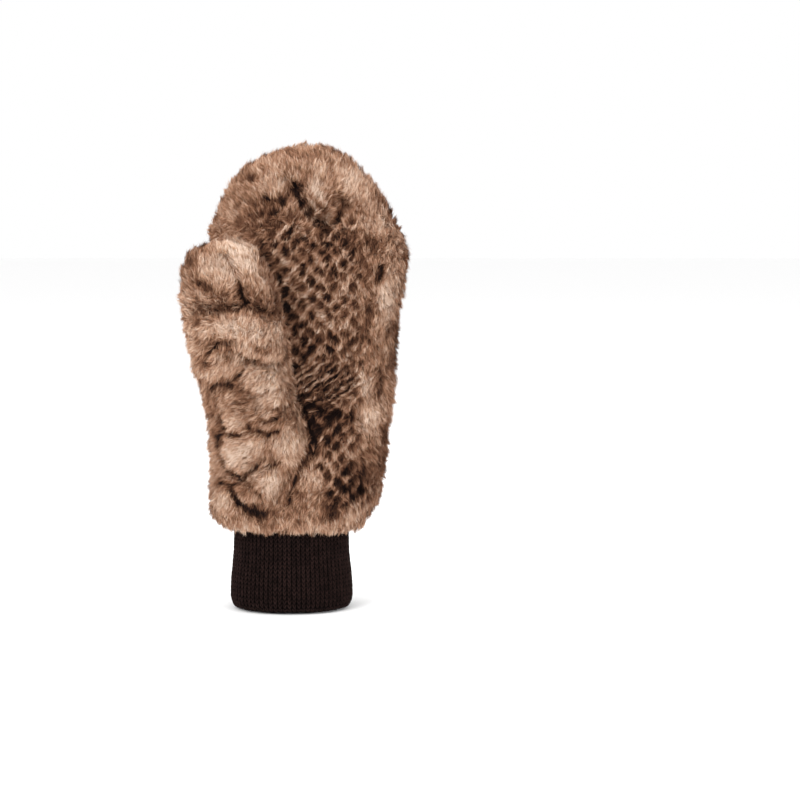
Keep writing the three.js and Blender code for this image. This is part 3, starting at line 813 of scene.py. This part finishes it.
def hollows():
    """Sections of the hollow for the hand, with the neck that holds the cuff, and of the thumb's."""
    half_width, half_depth = CUFF[-1, 1:] + NECK_CLEARANCE
    neck = np.array([CUFF_HEIGHT, -half_width, half_width, -half_depth, half_depth])
    bottom = neck.copy()
    bottom[0] = HEM_BOTTOM - 3
    step = SHOULDER_STEP
    shoulder = neck + np.array([SHOULDER_RISE, step / 2, -step / 2, step, -step])
    hand_rows, thumb_rows = inset_rows(HAND, WALL), inset_rows(THUMB, WALL)
    hand_hollow = np.vstack([bottom, neck, shoulder, hand_rows[hand_rows[:, 0] > PALM_BOTTOM]])
    thumb_hollow = thumb_rows[thumb_rows[:, 0] > CUFF_HEIGHT + SHOULDER_RISE]
    return hand_hollow, even_sections(thumb_hollow, 30)


def closed_solid(name, grid, materials, index):
    """A closed mesh over a grid of rings, for cutting and joining."""
    rings, segments = grid.shape[:2]
    ends = np.stack([grid[0].mean(axis=0), grid[-1].mean(axis=0)])
    points = np.concatenate([grid.reshape(-1, 3), ends]) * MM
    faces = quads(rings, segments).tolist()
    last = (rings - 1) * segments
    for i in range(segments):
        n = (i + 1) % segments
        faces.append((rings * segments, n, i))
        faces.append((rings * segments + 1, last + i, last + n))
    mesh = bpy.data.meshes.new(name)
    mesh.from_pydata(points.tolist(), [], faces)
    for material in materials:
        mesh.materials.append(material)
    mesh.polygons.foreach_set("material_index", np.full(len(faces), index, dtype=np.int32))
    solid = bpy.data.objects.new(name, mesh)
    bpy.context.scene.collection.objects.link(solid)
    return solid


def backing(hand, thumb, materials):
    """The cloth that carries the pile: the pile's feet outside, the knitted side in the hollow."""
    outer = [under_surface(shape, 5, BACKING_DEPTH)[0] for shape in (hand, thumb)]
    body = closed_solid("mitten_backing", outer[0], materials, 0)
    tools = [("UNION", closed_solid("thumb_outside", outer[1], materials, 0))]
    for sections, segments in zip(hollows(), (48, 32)):
        grid = np.array([ring(section, segments, HAND_SQUARENESS)[0] for section in sections])
        tools.append(("DIFFERENCE", closed_solid("hollow", grid, materials, 1)))
    for operation, tool in tools:
        cut = body.modifiers.new(operation, "BOOLEAN")
        cut.operation, cut.object, cut.solver = operation, tool, "EXACT"
    cut_body = body.evaluated_get(bpy.context.evaluated_depsgraph_get())
    shaped = bpy.data.meshes.new_from_object(cut_body)
    body.modifiers.clear()
    body.data = shaped
    for _, tool in tools:
        bpy.data.objects.remove(tool)
    shaped.polygons.foreach_set("use_smooth", np.ones(len(shaped.polygons), dtype=bool))
    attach(body, "root")
    return body


# Materials

def new_material(name):
    material = bpy.data.materials.new(name)
    material.use_nodes = True
    nodes, links = material.node_tree.nodes, material.node_tree.links
    return material, nodes, links, nodes["Principled BSDF"]


def ramp(nodes, stops, ease="LINEAR"):
    node = nodes.new("ShaderNodeValToRGB")
    node.color_ramp.interpolation = ease
    elements = node.color_ramp.elements
    while len(elements) > 1:
        elements.remove(elements[-1])
    elements[0].position, elements[0].color = stops[0][0], (*stops[0][1], 1)
    for position, colour in stops[1:]:
        elements.new(position).color = (*colour, 1)
    return node


def pile_material():
    """Strands whose tips run from dark brown to cream with their tone, dark at the root."""
    material, nodes, links, shader = new_material("fur_pile")
    data = nodes.new("ShaderNodeAttribute")
    data.attribute_name = "pile"
    split = nodes.new("ShaderNodeSeparateXYZ")
    links.new(data.outputs["Vector"], split.inputs[0])
    tips = ramp(nodes, [
        (0.0, (0.010, 0.004, 0.003)),
        (0.12, (0.036, 0.015, 0.009)),
        (0.25, (0.098, 0.040, 0.021)),
        (0.5, (0.285, 0.136, 0.076)),
        (0.7, (0.505, 0.302, 0.197)),
        (1.0, (0.730, 0.570, 0.455)),
    ])
    links.new(split.outputs["X"], tips.inputs[0])
    roots = ramp(nodes, [
        (0.0, (0.010, 0.005, 0.0035)),
        (0.5, (0.14, 0.064, 0.036)),
        (1.0, (0.46, 0.27, 0.165)),
    ])
    links.new(split.outputs["X"], roots.inputs[0])
    reach = ramp(nodes, [(0.15, (0, 0, 0)), (0.6, (1, 1, 1))], "EASE")
    links.new(split.outputs["Y"], reach.inputs[0])
    mix = nodes.new("ShaderNodeMix")
    mix.data_type = "RGBA"
    links.new(reach.outputs["Color"], mix.inputs["Factor"])
    links.new(roots.outputs["Color"], mix.inputs["A"])
    links.new(tips.outputs["Color"], mix.inputs["B"])
    links.new(mix.outputs["Result"], shader.inputs["Base Color"])
    shader.inputs["Roughness"].default_value = 0.75
    shader.inputs["Specular IOR Level"].default_value = 0.12
    return material


def plain_material(name, colour, roughness):
    material, _, _, shader = new_material(name)
    shader.inputs["Base Color"].default_value = (*colour, 1)
    shader.inputs["Roughness"].default_value = roughness
    shader.inputs["Specular IOR Level"].default_value = 0.15
    return material


def cloth_material(name, dark, light, patch, grain, relief):
    """Matt fibres whose colour wanders over patches and over single fibres, with a fine relief. The
    sizes are in millimetres."""
    material, nodes, links, shader = new_material(name)
    place = nodes.new("ShaderNodeTexCoord")
    wide, fine = nodes.new("ShaderNodeTexNoise"), nodes.new("ShaderNodeTexNoise")
    wide.inputs["Scale"].default_value = 1000 / patch
    wide.inputs["Detail"].default_value = 2.0
    fine.inputs["Scale"].default_value = 1000 / grain
    fine.inputs["Detail"].default_value = 3.0
    for texture in (wide, fine):
        links.new(place.outputs["Object"], texture.inputs["Vector"])
    both = nodes.new("ShaderNodeMath")
    both.operation = "ADD"
    links.new(wide.outputs["Fac"], both.inputs[0])
    links.new(fine.outputs["Fac"], both.inputs[1])
    shade = ramp(nodes, [(0.0, dark), (1.0, light)], "EASE")
    spread = nodes.new("ShaderNodeMapRange")
    spread.inputs["From Min"].default_value = 0.7
    spread.inputs["From Max"].default_value = 1.3
    links.new(both.outputs[0], spread.inputs["Value"])
    links.new(spread.outputs["Result"], shade.inputs[0])
    links.new(shade.outputs["Color"], shader.inputs["Base Color"])
    bump = nodes.new("ShaderNodeBump")
    bump.inputs["Strength"].default_value = 0.5
    bump.inputs["Distance"].default_value = relief * MM
    links.new(fine.outputs["Fac"], bump.inputs["Height"])
    links.new(bump.outputs["Normal"], shader.inputs["Normal"])
    shader.inputs["Roughness"].default_value = 0.92
    shader.inputs["Specular IOR Level"].default_value = 0.05
    return material


# Stage

def area_light(name, place, target, size, energy):
    lamp = bpy.data.lights.new(name, "AREA")
    lamp.shape, lamp.size, lamp.energy = "SQUARE", size, energy
    holder = bpy.data.objects.new(name, lamp)
    bpy.context.scene.collection.objects.link(holder)
    holder.location = place
    aim = np.array(target) - np.array(place)
    holder.rotation_mode = "QUATERNION"
    holder.rotation_quaternion = Vector(aim).to_track_quat("-Z", "Y")


def stage():
    scene = bpy.context.scene
    scene.view_settings.view_transform = "Standard"
    world = bpy.data.worlds.new("studio")
    scene.world = world
    world.use_nodes = True
    world.node_tree.nodes["Background"].inputs["Color"].default_value = (1, 1, 1, 1)
    world.node_tree.nodes["Background"].inputs["Strength"].default_value = 1.0
    bpy.ops.mesh.primitive_plane_add(size=12, location=(0, 0, -0.0005))
    floor = bpy.context.object
    floor.name = "floor"
    floor.data.materials.append(plain_material("studio_white", (0.97, 0.97, 0.97), 0.9))
    centre = (0.01, 0, 0.13)
    for name, place, size, energy in (
        ("key_left", (-0.9, -1.1, 1.0), 0.9, 16),
        ("fill_right", (1.0, -1.0, 0.7), 0.9, 9),
        ("top", (0.0, -0.1, 1.5), 0.8, 9),
    ):
        area_light(name, place, centre, size, energy)
    lens = bpy.data.cameras.new("camera")
    lens.lens, lens.sensor_width = LENS, 36.0
    camera = bpy.data.objects.new("camera", lens)
    scene.collection.objects.link(camera)
    camera.location = CAMERA_AT
    camera.rotation_euler = (math.radians(90 - CAMERA_TILT), 0, 0)
    scene.camera = camera


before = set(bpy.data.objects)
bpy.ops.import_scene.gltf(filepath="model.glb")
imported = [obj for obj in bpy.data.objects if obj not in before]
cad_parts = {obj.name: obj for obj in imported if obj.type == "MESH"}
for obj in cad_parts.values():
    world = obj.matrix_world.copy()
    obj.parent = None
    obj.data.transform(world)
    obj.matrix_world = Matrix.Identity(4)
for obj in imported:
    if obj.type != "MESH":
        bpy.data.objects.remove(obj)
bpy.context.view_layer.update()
pile_look = pile_material()
hand = form(HAND, 280, 300, PALM_FOLDS, BACK_FOLDS, HAND_LINES)
thumb = form(THUMB, 220, 200, THUMB_FOLDS, (), THUMB_LINES)
pile_feet = cloth_material("pile_feet", dark=(0.055, 0.028, 0.018), light=(0.17, 0.10, 0.065),
                           patch=9.0, grain=0.8, relief=0.4)
knit_side = cloth_material("knitted_backing", dark=(0.24, 0.17, 0.125), light=(0.36, 0.27, 0.205),
                           patch=6.0, grain=0.7, relief=0.5)
for name, shape, other, count, marks, lines, base_tone, nodes in (
    ("hand", hand, thumb, HAND_STRANDS, HAND_MARKS, HAND_LINES, HAND_TONE, ("palm_panel", "back_panel")),
    ("thumb", thumb, hand, THUMB_STRANDS, THUMB_MARKS, THUMB_LINES, THUMB_TONE, ("thumb_panel",)),
):
    lattice = name == "hand"
    pile = grow_pile(shape, other, count, 5, marks, lines, base_tone, lattice)
    undercoat(f"{name}_undercoat", shape, other, marks, lines, base_tone, lattice, pile_look)
    # The hand's strands go to its front and back panels, the thumb's all to one
    behind = (pile["base"][:, 1] > 0) & (name == "hand")
    for node, chosen in zip(nodes, (np.flatnonzero(~behind), np.flatnonzero(behind))):
        slot = node.replace("panel", "fur")
        for k, part in enumerate(np.array_split(chosen, math.ceil(len(chosen) / PIECE_STRANDS))):
            piece = strands_object(f"{slot}_{k + 1}", pile, part, pile_look)
            if k == 0:
                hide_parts(node)
backing(hand, thumb, (pile_feet, knit_side))

rib_shadow = cloth_material("rib_shadow", dark=(0.003, 0.0018, 0.0016), light=(0.007, 0.0042, 0.0038),
                            patch=5.0, grain=0.6, relief=0.3)
rib_yarn = cloth_material("rib_yarn", dark=(0.0085, 0.0045, 0.0040), light=(0.022, 0.0115, 0.0100),
                          patch=4.0, grain=0.35, relief=0.15)
cuff = cuff_tube(rib_shadow)
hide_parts("rib_cuff")
stitch_legs(rib_yarn)

stage()
